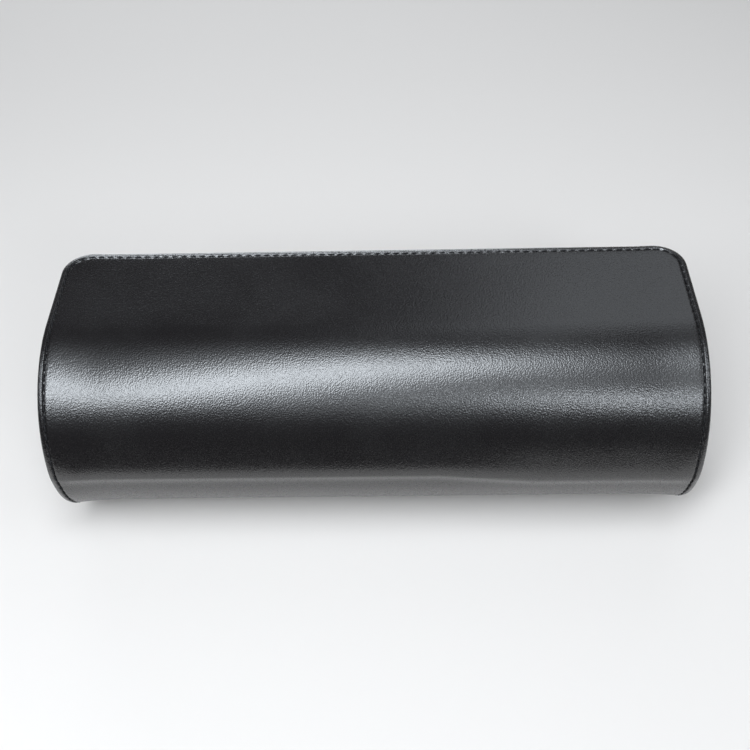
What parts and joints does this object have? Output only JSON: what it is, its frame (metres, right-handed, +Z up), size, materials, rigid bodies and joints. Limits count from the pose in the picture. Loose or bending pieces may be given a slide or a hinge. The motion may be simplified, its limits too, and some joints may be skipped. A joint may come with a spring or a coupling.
{
  "type": "watch roll",
  "caption": "Round leather watch roll with a fold-back lid, a flap that closes by hidden magnets, and lift-out cushions in divided wells.",
  "frame": {"origin": "middle of the flat that the roll stands on", "axes": "+X along the roll, +Y from the hinge side to the side that opens, +Z up"},
  "size_m": [0.2, 0.068, 0.0674],
  "materials": {
    "outer_leather": "semi-gloss, fine pebble grain",
    "end_leather": "semi-gloss, fine pebble grain",
    "lining_suede": "short-nap suede",
    "cushion_suede": "short-nap suede",
    "stiffener_board": "plain grey board",
    "cushion_foam": "open-cell foam",
    "magnet": "nickel-plated"
  },
  "bodies": {
    "case": {"case_leather": "outer_leather", "case_board": "stiffener_board", "case_lining": "lining_suede", "left_end_leather": "end_leather", "left_end_board": "stiffener_board", "left_end_lining": "lining_suede", "right_end_leather": "end_leather", "right_end_board": "stiffener_board", "right_end_lining": "lining_suede", "left_divider_board": "stiffener_board", "left_divider_suede": "lining_suede", "right_divider_board": "stiffener_board", "right_divider_suede": "lining_suede", "left_rim_magnet": "magnet", "right_rim_magnet": "magnet"},
    "lid": {"lid_leather": "outer_leather", "lid_board": "stiffener_board", "lid_lining": "lining_suede"},
    "flap": {"flap_leather": "outer_leather", "flap_board": "stiffener_board", "flap_lining": "lining_suede", "left_flap_magnet": "magnet", "right_flap_magnet": "magnet"},
    "left_cushion": {"left_cushion_cover": "cushion_suede", "left_cushion_foam": "cushion_foam"},
    "middle_cushion": {"middle_cushion_cover": "cushion_suede", "middle_cushion_foam": "cushion_foam"},
    "right_cushion": {"right_cushion_cover": "cushion_suede", "right_cushion_foam": "cushion_foam"}
  },
  "joints": [
    {"name": "lid_fold", "type": "hinge", "parent": "case", "child": "lid", "pos_m": [0, -0.03367, 0.0381], "axis": [1, 0, 0], "range_deg": [0, 155]},
    {"name": "flap_fold", "type": "hinge", "parent": "lid", "child": "flap", "pos_m": [0, 0, 0.06737], "axis": [1, 0, 0], "range_deg": [0, 60]},
    {"name": "left_cushion_lift", "type": "slide", "parent": "case", "child": "left_cushion", "axis": [0, 0, 1], "range_m": [0, 0.018]},
    {"name": "middle_cushion_lift", "type": "slide", "parent": "case", "child": "middle_cushion", "axis": [0, 0, 1], "range_m": [0, 0.018]},
    {"name": "right_cushion_lift", "type": "slide", "parent": "case", "child": "right_cushion", "axis": [0, 0, 1], "range_m": [0, 0.018]}
  ]
}
